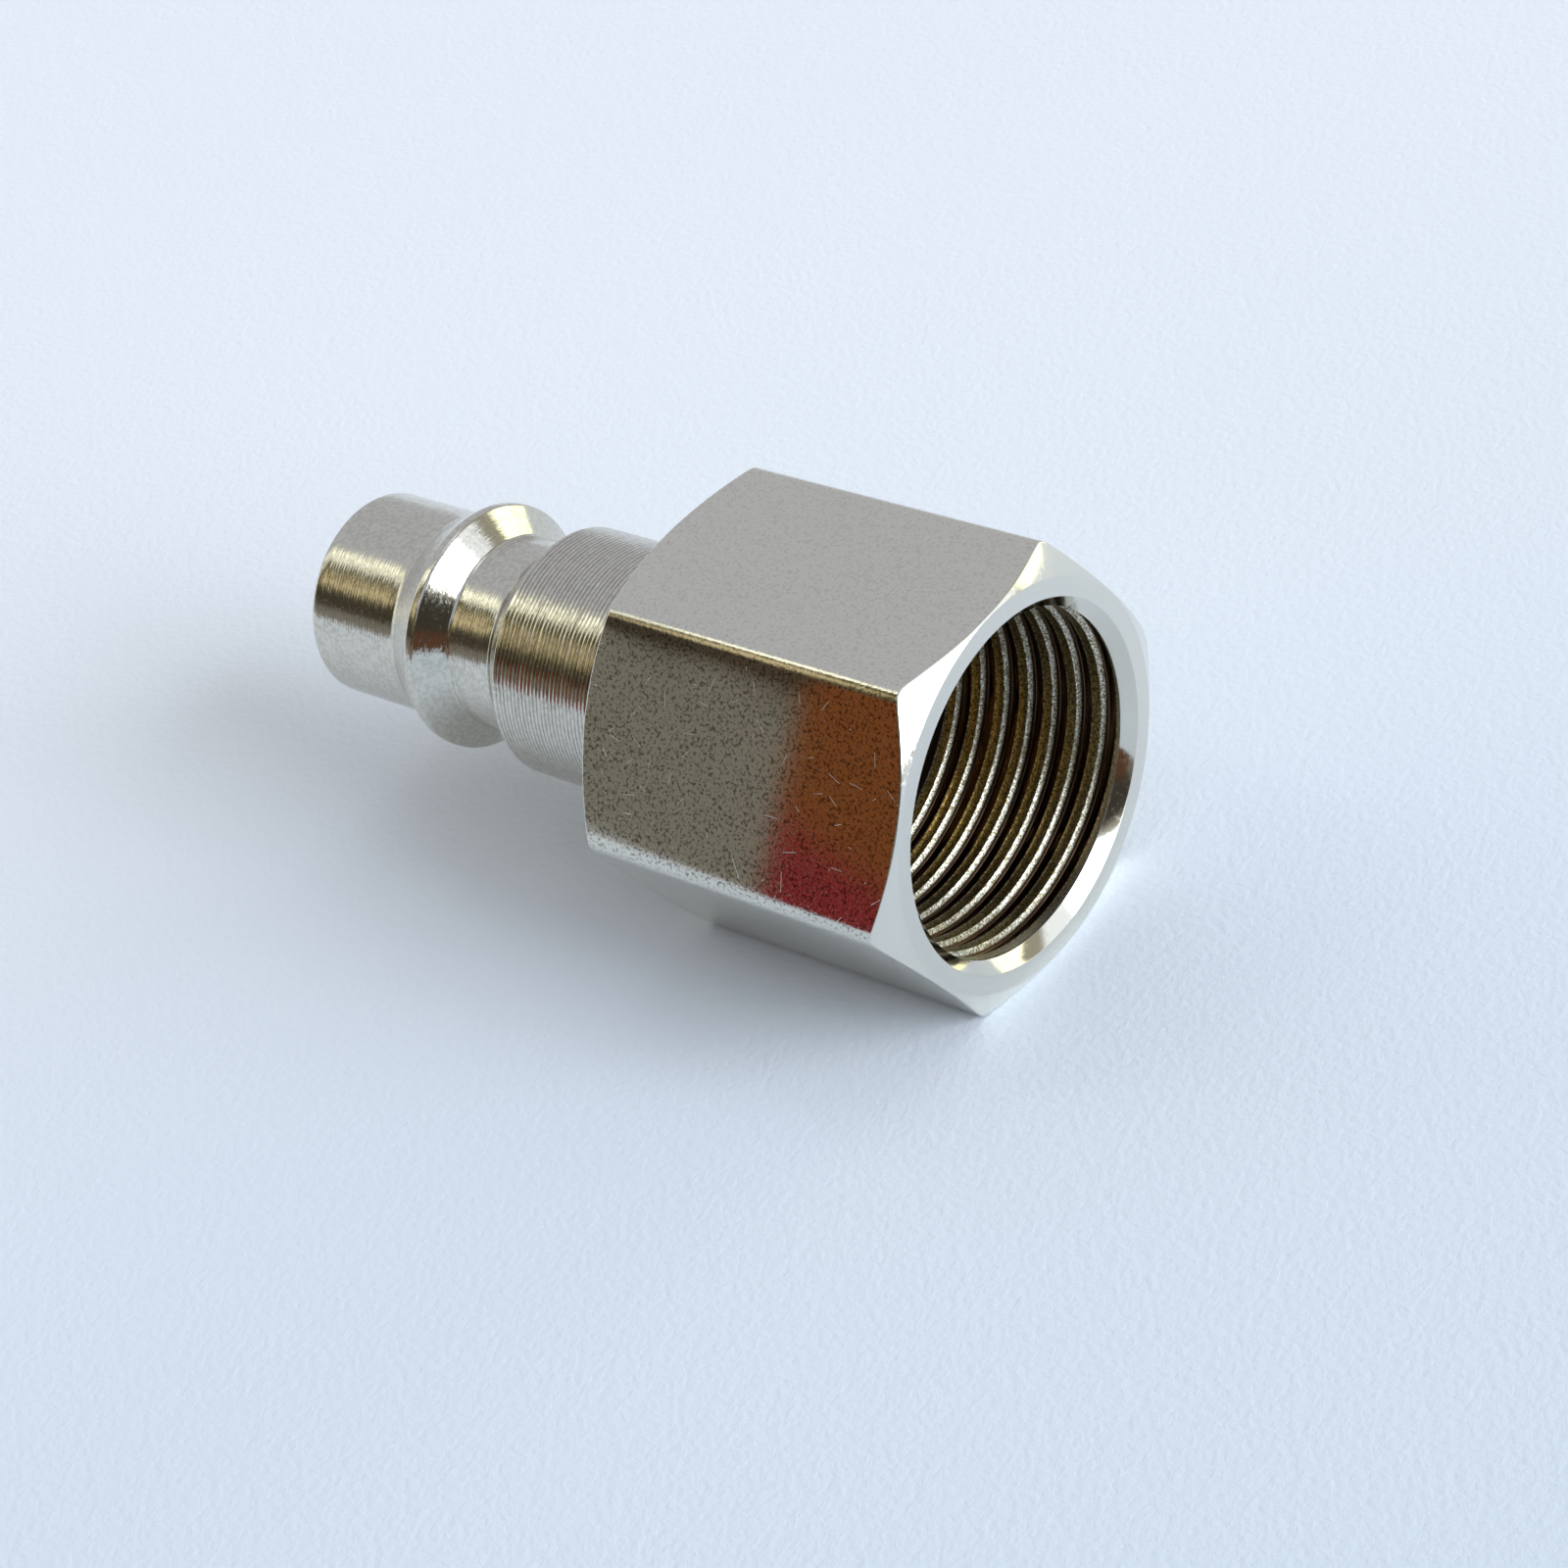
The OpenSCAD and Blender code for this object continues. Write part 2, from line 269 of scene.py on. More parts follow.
def finish_piece(obj, body, node, materials, pick=None):
    """Gives a piece its materials and sets it on its body in place of its CAD node."""
    obj.data.materials.clear()
    for material in materials:
        obj.data.materials.append(material)
    for polygon in obj.data.polygons:
        polygon.material_index = pick(polygon) if pick else 0
    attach(obj, body)
    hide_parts(node)
    return obj


# ---------------------------------------------------------------- hexagon body


def hex_radius(angle):
    """Distance from the axis to the bar: six flats that roll off at their edges, and blunted corners."""
    half_flat = FLAT_R * math.tan(math.radians(30))
    total = BLUNT_R ** -EDGE_SHARPNESS
    for side in range(6):
        away = angle - math.radians(30 + 60 * side)
        if math.cos(away) > 0.5:
            across = abs(FLAT_R * math.tan(away)) / half_flat
            height = FLAT_R - ROLL_OFF * min(across, 1.2) ** 8
            total += (math.cos(away) / height) ** EDGE_SHARPNESS
    return total ** (-1 / EDGE_SHARPNESS)


def hex_angles():
    """Angles of the columns round the hexagon, closest together at its corners."""
    angles = []
    for side in range(6):
        for i in range(FLAT_COLUMNS):
            across = math.sin(math.pi * (i / FLAT_COLUMNS - 0.5))
            angles.append(math.radians(30 + 60 * side + 30 * across))
    return angles


def hex_column(radius):
    """Outline of the bar at one column: front face, chamfer, flat, rear chamfer and rear face."""
    drop = (radius - FACE_R) * CHAMFER_SLOPE
    return rounded([
        (0, FACE_R - 0.5, 0), (0, FACE_R, FACE_EDGE_ROUND), (-drop, radius, EDGE_ROUND),
        (X_HEX_END + drop, radius, EDGE_ROUND), (X_HEX_END, FACE_R, FACE_EDGE_ROUND),
        (X_HEX_END, FACE_R - 0.5, 0)])


def hex_bar():
    vertices, faces = [], []
    angles = hex_angles()
    for angle in angles:
        column = hex_column(hex_radius(angle))
        vertices += [(x, r * math.cos(angle), r * math.sin(angle)) for x, r in column]
    rows, columns = len(column), len(angles)
    for c in range(columns):
        near, far = c * rows, (c + 1) % columns * rows
        faces += [(near + i, near + i + 1, far + i + 1, far + i) for i in range(rows - 1)]
    faces.append([c * rows for c in range(columns)])
    faces.append([c * rows + rows - 1 for c in range(columns)])
    return new_object("hex_body_shell", vertices, faces)


def bore_cutter():
    """What is turned out of the bar: countersink, bore, ring groove, holder bore and the rear hole."""
    past = 0.004
    return turned("bore_cutter", rounded([
        (1, 0, 0), (1, MOUTH_R + 0.2, 0), (past, MOUTH_R + 0.2, 0), (past, MOUTH_R + past, 0.07),
        (THREAD_MINOR_R - MOUTH_R, THREAD_MINOR_R, 0.03),
        (X_RING_GROOVE, THREAD_MINOR_R, 0.08), (X_RING_GROOVE, RING_GROOVE_R, 0.05),
        (X_SEAT_PLATE, RING_GROOVE_R, 0.05), (X_SEAT_PLATE, HOLDER_BORE_R, 0.1),
        (X_FLANGE_FRONT, HOLDER_BORE_R, 0.05), (X_FLANGE_FRONT, PILOT_BORE_R, 0.05),
        (X_HEX_END + 0.12, PILOT_BORE_R, 0.04), (X_HEX_END - 0.08, PILOT_BORE_R + 0.2, 0),
        (X_HEX_END - 1, PILOT_BORE_R + 0.2, 0), (X_HEX_END - 1, 0, 0)]), loop=False)


def groove_section():
    """Section of the thread groove as (offset along X, r), with a flat root and rounded edges."""
    inside = THREAD_MINOR_R - 0.5
    lip = THREAD_MINOR_R - LIP_GAP
    half, margin = GROOVE_HALF, 0.1
    return rounded([
        (half + margin, inside, 0), (half + margin, lip, 0), (half, lip, 0.06),
        (ROOT_HALF, THREAD_MAJOR_R, 0.10), (-ROOT_HALF, THREAD_MAJOR_R, 0.10),
        (-half, lip, 0.06), (-half - margin, lip, 0), (-half - margin, inside, 0)])


def fade_in(distance, length):
    """Rises smoothly from 0 to 1 over a length."""
    t = min(max(distance / length, 0), 1)
    return t * t * (3 - 2 * t)


def thread_cutter():
    """A right-hand helical groove that gets deeper from the countersink on and ends in the ring groove."""
    section = groove_section()
    lip = THREAD_MINOR_R - LIP_GAP
    size = len(section)
    ahead = (1.9 - THREAD_X) / THREAD_PITCH
    behind = (THREAD_X - X_RING_GROOVE - 0.5) / THREAD_PITCH
    count = round((ahead + behind) * THREAD_STEPS)
    vertices, faces = [], []
    for i in range(count + 1):
        turn = i / THREAD_STEPS - behind
        angle = THREAD_AT + 2 * math.pi * turn
        x_centre = THREAD_X + THREAD_PITCH * turn
        depth = fade_in(X_THREAD_START - x_centre, THREAD_FADE)
        for x, r in section:
            r = min(r, lip) + max(r - lip, 0) * depth
            vertices.append((x_centre + x, r * math.cos(angle), r * math.sin(angle)))
    for i in range(count):
        for j in range(size):
            k = (j + 1) % size
            faces.append((i * size + j, i * size + k, (i + 1) * size + k, (i + 1) * size + j))
    faces.append(list(range(size)))
    faces.append([count * size + j for j in range(size)])
    return new_object("thread_cutter", vertices, faces)


def hex_region(polygon):
    """Material of a face of the hexagon body: 0 a flat, 1 turned, 2 the thread, 3 the countersink."""
    centre, normal = polygon.center / MM, polygon.normal
    near = 0.02
    r = math.hypot(centre.y, centre.z)
    if r > FACE_R:
        return 0 if abs(normal.x) < 0.3 else 1
    if centre.x > THREAD_MINOR_R - MOUTH_R - near and abs(r - MOUTH_R - centre.x) < near:
        return 3
    in_port = r < MOUTH_R and centre.x > X_RING_GROOVE - near
    return 2 if in_port and abs(normal.x) < 0.99 else 1


def hex_body():
    shell = hex_bar()
    combine(shell, bore_cutter())
    combine(shell, thread_cutter())
    smooth(shell)
    # The front face gets the lighter nickel as painted light, to brighten its reflection of the floor.
    face = nickel_turned("nickel_face", metal=NICKEL_PAINTED_BRIGHT, dull=0.2, lines=0.0012)
    countersink = nickel_turned("nickel_countersink", dull=0.2, gloss=0.35, lines=0.0012)
    materials = [nickel_flat(), face, nickel_thread(), countersink]
    return finish_piece(shell, "plug", "hex_body", materials, hex_region)


# ---------------------------------------------------------------- plug nose


def plug_nose():
    """The turned nose: flange, pilot, grooved shoulder, locking groove, ridge, lead-in cone and tip."""
    seal_half = 0.7
    seal_floor = FLANGE_R - 1.21
    x_seal = (X_FLANGE_FRONT + X_FLANGE_REAR) / 2
    outside = [
        (X_FLANGE_REAR, CHAMBER_R, 0.08), (X_FLANGE_REAR, FLANGE_R, 0.12),
        (x_seal + seal_half, FLANGE_R, 0.08), (x_seal + seal_half, seal_floor, 0.1),
        (x_seal - seal_half, seal_floor, 0.1), (x_seal - seal_half, FLANGE_R, 0.08),
        (X_FLANGE_FRONT, FLANGE_R, 0.08), (X_FLANGE_FRONT, PILOT_R, 0.03),
        (X_HEX_END, PILOT_R, 0.06), (X_HEX_END, RIDGE_R, 0)]
    shoulder = tool_marks(*SHOULDER_MARKS, RIDGE_R, MARK_FEED, depth=0.014)
    groove = [(X_SHOULDER, RIDGE_R, 0.12), (X_RAMP_FOOT, GROOVE_R, 0.6)]
    groove_floor = tool_marks(X_RAMP_FOOT - 0.45, X_RIDGE_FOOT + 0.3, GROOVE_R, feed=0.16, depth=0.003)
    ridge = [(X_RIDGE_FOOT, GROOVE_R, 0.25), (X_CREST, RIDGE_R, 0.22), (X_LEAD, RIDGE_R, 0.3),
             (X_NOSE, NOSE_R, 1.2)]
    nose = tool_marks(X_NOSE - 0.5, X_TIP + 0.62, NOSE_R, feed=0.17, depth=0.003)
    front = [(X_TIP, NOSE_R, 0.55), (X_TIP, BORE_R + 0.45, 0.08), (X_TIP + 0.45, BORE_R, 0.15),
             (X_SEAT_NARROW, BORE_R, 0.12), (X_SEAT_WIDE, CHAMBER_R, 0.1)]
    outline = rounded(outside + shoulder + groove + groove_floor + ridge + nose + front, steps=6)
    outline[0] = np.array((X_FLANGE_REAR, CHAMBER_R))
    obj = turned("plug_nose_turned", outline)
    smooth(obj)
    # The shoulder's furrow bottoms are darkened, partly as dirt and partly as painted shade.
    nickel = nickel_turned("nickel_nose", blotchy=0.4, lines=0.011, polished=(X_CREST, X_RIDGE_FOOT),
                           dirt_and_shade_marks=(*SHOULDER_MARKS, MARK_FEED))
    return finish_piece(obj, "plug", "plug_nose", [nickel])


# ---------------------------------------------------------------- small parts


def rubber_ring(name, node, body, wire_r=0.6, sides=160, around=28):
    """An O-ring with the fine flash line that its mould leaves round the outside."""
    low, high = node_box(node)
    x = (low.x + high.x) / 2
    mean_r = high.y - wire_r
    outline = []
    for i in range(around):
        a = 2 * math.pi * i / around
        flash = 0.012 * math.exp(-((math.sin(a / 2) / 0.06) ** 2))
        outline.append((x + (wire_r + flash) * math.sin(a), mean_r + wire_r * math.cos(a)))
    obj = turned(name, outline, sides)
    smooth(obj, 60)
    return finish_piece(obj, body, node, [rubber()])


def poppet():
    """The valve: push pin, guide ribs, lip, seal groove, head, stop and tail."""
    pin_r, lip_r, head_r, stop_r, stem_r = 1.4, 3.5, 4.15, 2.2, 1.5
    seal_low, seal_high = node_box("poppet_seal")
    floor_r = seal_high.y - 1.22
    x_front, x_end = poppet_low.x, poppet_high.x
    x_groove_front, x_groove_back = seal_low.x - 0.03, seal_high.x + 0.03
    x_lip = x_groove_front - 0.7
    x_head_back = spring_low.x - 0.01
    x_stop = x_head_back + 3.95
    x_ribs = x_lip - 7
    blank = turned("poppet_turned", rounded([
        (x_front, 0, 0), (x_front, pin_r, 0.6), (x_lip, pin_r, 0.15), (x_lip, lip_r, 0.25),
        (x_groove_front, lip_r, 0.06), (x_groove_front, floor_r, 0.1), (x_groove_back, floor_r, 0.1),
        (x_groove_back, head_r, 0.08), (x_head_back, head_r, 0.15), (x_head_back, stop_r, 0.1),
        (x_stop, stop_r, 0.12), (x_stop, stem_r, 0.06), (x_end, stem_r, 0.3), (x_end, 0, 0)], steps=5),
        sides=128, loop=False)
    for i in range(4):
        guide = rib("rib", x_ribs, x_lip + 0.05, pin_r - 0.3, BORE_R - 0.05)
        combine(blank, spin(guide, 45 + 90 * i), "UNION")
    smooth(blank)
    return finish_piece(blank, "valve", "poppet", [brass("brass_valve")])


def rib(name, x_from, x_to, r_in, r_out, half=0.45, chamfer=0.9, edge=0.08):
    """One guide rib, along +Y, with a chamfered front and broken edges."""
    def section(x, top):
        return [(x, r_in, -half), (x, r_in, half), (x, top - edge, half),
                (x, top, half - edge), (x, top, edge - half), (x, top - edge, -half)]
    rings = section(x_from, r_out - chamfer) + section(x_from + chamfer, r_out) + section(x_to, r_out)
    faces = [list(range(6)), list(range(12, 18))]
    for ring in range(2):
        for i in range(6):
            j = (i + 1) % 6
            faces.append((ring * 6 + i, ring * 6 + j, ring * 6 + 6 + j, ring * 6 + 6 + i))
    return new_object(name, rings, faces)


def valve_spring():
    """A compression spring of round wire with a closed turn at each end."""
    wire_r, closed_turns, open_turns = 0.3, 1, 3.6
    coil_r = spring_high.y - wire_r
    around, per_turn = 16, 64
    x_first, x_last = spring_low.x + wire_r, spring_high.x - wire_r
    closed_rise = 2 * wire_r * 1.06
    turns = open_turns + 2 * closed_turns
    open_rise = (x_last - x_first - 2 * closed_turns * closed_rise) / open_turns
    steps = round(turns * per_turn)
    vertices, faces = [], []
    for i in range(steps + 1):
        turn = turns * i / steps
        opened = min(max(turn - closed_turns, 0), open_turns)
        x = x_first + closed_rise * (turn - opened) + open_rise * opened
        angle = 2 * math.pi * turn
        for s in range(around):
            a = 2 * math.pi * s / around
            r = coil_r + wire_r * math.cos(a)
            vertices.append((x + wire_r * math.sin(a), r * math.cos(angle), r * math.sin(angle)))
    for i in range(steps):
        for s in range(around):
            t = (s + 1) % around
            faces.append((i * around + s, i * around + t, (i + 1) * around + t, (i + 1) * around + s))
    faces.append(list(range(around)))
    faces.append([steps * around + s for s in range(around)])
    obj = new_object("valve_spring_coil", vertices, faces)
    smooth(obj, 50)
    finish_piece(obj, "plug", "valve_spring", [spring_wire()])
    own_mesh(obj)
    return obj


def spring_seat():
    """The perforated plate that backs the spring, with a hub that guides the valve's tail."""
    hole_r, hub_r, land_r, window_r, spoke_half = 1.55, 2.4, 3.3, 4.75, 0.65
    x_hub, x_front, x_back = seat_low.x, X_FLANGE_REAR, seat_high.x
    outer_r = seat_high.y
    plate = turned("spring_seat_turned", rounded([
        (x_hub, (hole_r + hub_r) / 2, 0), (x_hub, hub_r, 0.12), (x_front, hub_r, 0.1),
        (x_front, outer_r, 0.08), (x_back, outer_r, 0.08), (x_back, hole_r, 0.12),
        (x_hub, hole_r, 0.12), (x_hub, (hole_r + hub_r) / 2, 0)])[:-1], sides=192)
    for i in range(3):
        middle = 50 + 120 * i + 60
        combine(plate, window_cutter(middle, land_r, window_r, spoke_half, x_front - 1, x_back + 1))
    smooth(plate)
    return finish_piece(plate, "plug", "spring_seat", [brass("brass_seat")])


def window_cutter(middle, r_in, r_out, spoke_half, x_from, x_to, steps=24):
    """A kidney-shaped cutter through the spring seat, centred on an angle in degrees."""
    def arc(r):
        half = math.radians(60) - math.asin(spoke_half / r)
        return [(r, math.radians(middle) + half * (2 * i / steps - 1)) for i in range(steps + 1)]
    path = arc(r_out) + arc(r_in)[::-1]
    count = len(path)
    vertices = [(x, r * math.cos(a), r * math.sin(a)) for x in (x_from, x_to) for r, a in path]
    faces = [list(range(count)), list(range(count, 2 * count))]
    faces += [(i, (i + 1) % count, count + (i + 1) % count, count + i) for i in range(count)]
    return new_object("window_cutter", vertices, faces)


def disc(name, x_from, x_to, r, y=0, z=0, sides=160):
    """A plain round slug along X, used only to build up or cut the retaining ring."""
    obj = turned(name, [(x_from, 0), (x_from, r), (x_to, r), (x_to, 0)], sides, loop=False)
    obj.data.transform(Matrix.Translation(Vector((0, y, z)) * MM))
    return obj


def retaining_ring():
    """An open spring ring, stamped from sheet, with two drilled lugs for the pliers."""
    outer_r, inner_r, offset, gap = ring_high.y, 6.55, 0.3, 2.6
    lug_r, hole_r, lug_at, lug_angle = 1.05, 0.45, 6.2, math.radians(19)
    x_from, x_to = ring_low.x, ring_high.x
    ring = disc("retaining_ring_stamped", x_from, x_to, outer_r)
    combine(ring, disc("inner", x_from - 1, x_to + 1, inner_r, z=offset))
    combine(ring, box_solid("gap", (x_from - 1, -gap / 2, 0), (x_to + 1, gap / 2, outer_r + 1)))
    for side in (-1, 1):
        y, z = side * lug_at * math.sin(lug_angle), lug_at * math.cos(lug_angle)
        combine(ring, disc("lug", x_from, x_to, lug_r, y, z, 48), "UNION")
        combine(ring, disc("lug_hole", x_from - 1, x_to + 1, hole_r, y, z, 32))
    bevel = ring.modifiers.new("stamped_edge", "BEVEL")
    bevel.width = 0.07 * MM
    bevel.segments = 3
    bevel.angle_limit = math.radians(50)
    graph = bpy.context.evaluated_depsgraph_get()
    ring.data = bpy.data.meshes.new_from_object(ring.evaluated_get(graph))
    ring.modifiers.clear()
    smooth(ring)
    return finish_piece(ring, "plug", "retaining_ring", [ring_steel()])


# ---------------------------------------------------------------- materials


class Shader:
    """A node tree filled in by short calls, each of which gives back an output socket."""

    def __init__(self, tree):
        self.tree = tree
        tree.nodes.clear()

    def add(self, kind, inputs=None, out=0, **settings):
        node = self.tree.nodes.new(kind)
        for key, value in settings.items():
            setattr(node, key, value)
        for key, value in (inputs or {}).items():
            self.put(node.inputs[key], value)
        return node.outputs[out] if len(node.outputs) else None

    def put(self, socket, value):
        if isinstance(value, bpy.types.NodeSocket):
            self.tree.links.new(value, socket)
        else:
            socket.default_value = value

    def math(self, operation, *values):
        return self.add("ShaderNodeMath", dict(enumerate(values)), operation=operation)

    def plus(self, a, b):
        return self.math("ADD", a, b)

    def minus(self, a, b):
        return self.math("SUBTRACT", a, b)

    def times(self, a, b):
        return self.math("MULTIPLY", a, b)

    def between(self, value, at_zero, at_one):
        """Turns a value from 0 to 1 into one from at_zero to at_one, in a straight line."""
        return self.plus(self.times(value, at_one - at_zero), at_zero)

    def combine(self, x, y, z):
        return self.add("ShaderNodeCombineXYZ", {"X": x, "Y": y, "Z": z})

    def split(self, vector):
        node = self.tree.nodes.new("ShaderNodeSeparateXYZ")
        self.put(node.inputs[0], vector)
        return node.outputs

    def step(self, value, low, high, to_low=0.0, to_high=1.0):
        """Goes smoothly from to_low to to_high as the value goes from low to high."""
        return self.add("ShaderNodeMapRange", {
            "Value": value, "From Min": low, "From Max": high, "To Min": to_low, "To Max": to_high},
            interpolation_type="SMOOTHSTEP")

    def fall(self, value, low, high):
        """Goes smoothly from 1 to 0 as the value goes from low to high."""
        return self.step(value, low, high, 1.0, 0.0)

    def noise(self, vector, scale, detail=2.0, roughness=0.5):
        return self.add("ShaderNodeTexNoise", {
            "Vector": vector, "Scale": scale, "Detail": detail, "Roughness": roughness})

    def grain(self, cell_mm, detail=2.0, roughness=0.5):
        """Noise that is the same in all directions, with cells of a size in millimetres."""
        return self.noise(self.object_place(), 1 / (cell_mm * MM), detail, roughness)

    def lathe_lines(self, per_mm, drift, detail=2.0, roughness=0.5):
        """Noise drawn out round the axis, so that it looks like turning lines. The lower the drift, the
        farther a line runs round the piece before it changes."""
        x, r, c, s = self.polar()
        across = self.times(self.plus(x, self.times(r, 1.7)), per_mm)
        place = self.combine(across, self.times(c, drift), self.times(s, drift))
        return self.noise(place, 1.0, detail, roughness)

    def mix(self, factor, a, b):
        node = self.tree.nodes.new("ShaderNodeMix")
        node.data_type = "RGBA"
        colours = [s for s in node.inputs if s.type == "RGBA"]
        self.put(node.inputs[0], factor)
        for socket, value in zip(colours, (a, b)):
            self.put(socket, value if isinstance(value, bpy.types.NodeSocket) else (*value, 1))
        return next(s for s in node.outputs if s.type == "RGBA")

    def bump(self, height, depth_mm):
        return self.add("ShaderNodeBump", {"Height": height, "Distance": depth_mm * MM})

    def object_place(self):
        return self.add("ShaderNodeTexCoord", out="Object")

    def polar(self):
        """x, r, and the cosine and sine of the angle round the axis, with lengths in millimetres."""
        x, y, z = (self.math("DIVIDE", s, MM) for s in self.split(self.object_place()))
        r = self.math("SQRT", self.plus(self.times(y, y), self.times(z, z)))
        r = self.math("MAXIMUM", r, 0.001)
        return x, r, self.math("DIVIDE", y, r), self.math("DIVIDE", z, r)

    def surface(self, **inputs):
        names = {k: k.replace("_", " ") for k in inputs}
        shader = self.add("ShaderNodeBsdfPrincipled", {names[k]: v for k, v in inputs.items()})
        self.add("ShaderNodeOutputMaterial", {"Surface": shader})


def material(name):
    made = bpy.data.materials.new(name)
    made.use_nodes = True
    return made, Shader(made.node_tree)


# Metal colours. Thin nickel lets the golden metal below it show.
NICKEL = (0.70, 0.68, 0.605)
NICKEL_DULL = (0.58, 0.56, 0.49)
# A lighter copy of the nickel, painted light: it brightens the front face and the thread's port-facing
# sides and deep crest edges.
NICKEL_PAINTED_BRIGHT = (0.80, 0.78, 0.71)
NICKEL_DARK = (0.40, 0.38, 0.33)
THIN_NICKEL = (0.74, 0.62, 0.33)
THIN_NICKEL_DULL = (0.18, 0.145, 0.065)
# Painted shade: the dark brown of the thread's roots and of the deep part of its groove.
ROOT_PAINTED_SHADE = (0.09, 0.055, 0.035)
PIT = (0.05, 0.042, 0.032)
SCRATCH = (0.95, 0.94, 0.90)
# Dark in the shoulder's furrow bottoms: partly dirt, partly painted shade.
DIRT_AND_SHADE = (0.14, 0.12, 0.09)
BRASS = (0.80, 0.58, 0.24)
BRASS_DULL = (0.58, 0.40, 0.17)
STAINLESS = (0.62, 0.61, 0.59)
STAINLESS_DULL = (0.45, 0.43, 0.40)
PHOSPHATE = (0.055, 0.055, 0.06)
PHOSPHATE_PALE = (0.10, 0.095, 0.09)
PHOSPHATE_WORN = (0.22, 0.22, 0.22)
# Other colours
RUBBER = (0.012, 0.012, 0.013)
RUBBER_BLOOM = (0.045, 0.044, 0.043)
# The paper's two tints are a painted falloff of light: lit far from the camera, shaded near it.
PAPER_LIT_FAR = (0.88, 0.92, 0.98)
PAPER_SHADED_NEAR = (0.72, 0.80, 0.905)
BACKDROP = (0.76, 0.83, 0.93)


def nickel_flat():
    """Plated flats: a mirror broken up by a fine grain of pits, with a few short light scratches and
    nicked corners. The flat beside the top one, towards -Y, is worn most."""
    made, sh = material("nickel_flat")
    x, r, c, s = sh.polar()
    grain = sh.grain(0.15, detail=3, roughness=0.7)
    pits = sh.fall(grain, 0.38, 0.50)
    frost = sh.step(sh.grain(0.09, detail=2, roughness=0.6), 0.54, 0.64)
    worn = sh.times(sh.fall(c, -0.53, -0.50), sh.step(s, -0.05, 0.05))
    scratch = sh.times(scratches(sh), sh.between(worn, 0.35, 1.0))
    rough = sh.plus(sh.between(frost, 0.03, 0.17), sh.times(scratch, 0.35))
    colour = sh.mix(sh.times(pits, sh.between(worn, 0.18, 0.73)), NICKEL, PIT)
    colour = sh.mix(sh.times(scratch, 0.8), colour, SCRATCH)
    nicked = sh.between(sh.step(r, BLUNT_R - 0.16, BLUNT_R - 0.06), 1.0, 6.0)
    height = sh.times(sh.plus(grain, sh.times(scratch, 0.5)), nicked)
    sh.surface(Base_Color=colour, Metallic=1.0, Roughness=rough, Normal=sh.bump(height, 0.0015))
    return made


def scratches(sh, cell=1.2, half_width=0.014):
    """A mask of short thin scratches on the flats, up to one in each cell, that run in all directions."""
    x, r, c, s = sh.polar()
    place = sh.combine(x, sh.times(sh.math("ARCTAN2", s, c), FLAT_R), 0.0)
    cells = sh.tree.nodes.new("ShaderNodeTexVoronoi")
    cells.voronoi_dimensions = "2D"
    sh.put(cells.inputs["Vector"], place)
    sh.put(cells.inputs["Scale"], 1 / cell)
    random = sh.split(cells.outputs["Color"])
    away = sh.split(sh.add("ShaderNodeVectorMath", {0: place, 1: cells.outputs["Position"]},
                           operation="SUBTRACT"))
    angle = sh.times(random[0], 2 * math.pi)
    cosine, sine = sh.math("COSINE", angle), sh.math("SINE", angle)
    along = sh.plus(sh.times(away[0], cosine), sh.times(away[1], sine))
    across = sh.minus(sh.times(away[1], cosine), sh.times(away[0], sine))
    half_length = sh.between(random[1], 0.05, 0.40)
    ends = sh.math("LESS_THAN", sh.math("ABSOLUTE", along), half_length)
    line = sh.fall(sh.math("ABSOLUTE", across), half_width * 0.5, half_width * 1.5)
    present = sh.math("GREATER_THAN", random[2], 0.5)
    return sh.times(sh.times(ends, line), present)


def nickel_turned(name, metal=NICKEL, dull=0.5, blotchy=0.0, gloss=0.0, lines=0.003,
                  polished=None, dirt_and_shade_marks=None):
    """Plated turned surfaces, with fine lines round the axis. Dull and blotchy are how far its metal is
    dulled in rings and darkened in spots, gloss is how much smoother than usual it is, and lines is the
    depth of its lines in millimetres. Between the two stations of polished it is smoother still. The last
    argument is the start, end and feed of lathe marks whose furrow bottoms are darkened, partly as dirt
    and partly as painted shade."""
    made, sh = material(name)
    fine = sh.lathe_lines(11.0, 1.2, detail=2, roughness=0.7)
    coarse = sh.lathe_lines(3.6, 4.0, detail=3, roughness=0.65)
    broad = sh.lathe_lines(2.2, 2.5, detail=2)
    spots = sh.grain(0.22, detail=3, roughness=0.6)
    rough = sh.plus(sh.between(fine, 0.06, 0.16), sh.times(sh.step(spots, 0.5, 0.7), 0.14))
    rough = sh.times(rough, 1.0 - gloss)
    if polished:
        rough = sh.times(rough, sh.between(stretch(sh, *polished), 1.0, 0.8))
    colour = sh.mix(sh.times(broad, dull), metal, NICKEL_DULL)
    colour = sh.mix(sh.times(sh.step(spots, 0.40, 0.62), blotchy), colour, NICKEL_DARK)
    if dirt_and_shade_marks:
        # Darkened furrow bottoms: partly dirt, partly painted shade.
        furrow_dirt_and_shade = sh.times(furrow_bottoms(sh, *dirt_and_shade_marks), sh.step(coarse, 0.25, 0.6, 0.3, 0.62))
        colour = sh.mix(furrow_dirt_and_shade, colour, DIRT_AND_SHADE)
    height = sh.plus(sh.plus(sh.times(fine, 0.4), coarse), sh.times(spots, 0.35))
    sh.surface(Base_Color=colour, Metallic=1.0, Roughness=rough, Normal=sh.bump(height, lines))
    return made


def stretch(sh, low, high, soft=0.1):
    """A mask of what lies between two stations along the axis, with soft ends."""
    x = sh.polar()[0]
    return sh.times(sh.step(x, low - soft, low + soft), sh.fall(x, high - soft, high + soft))


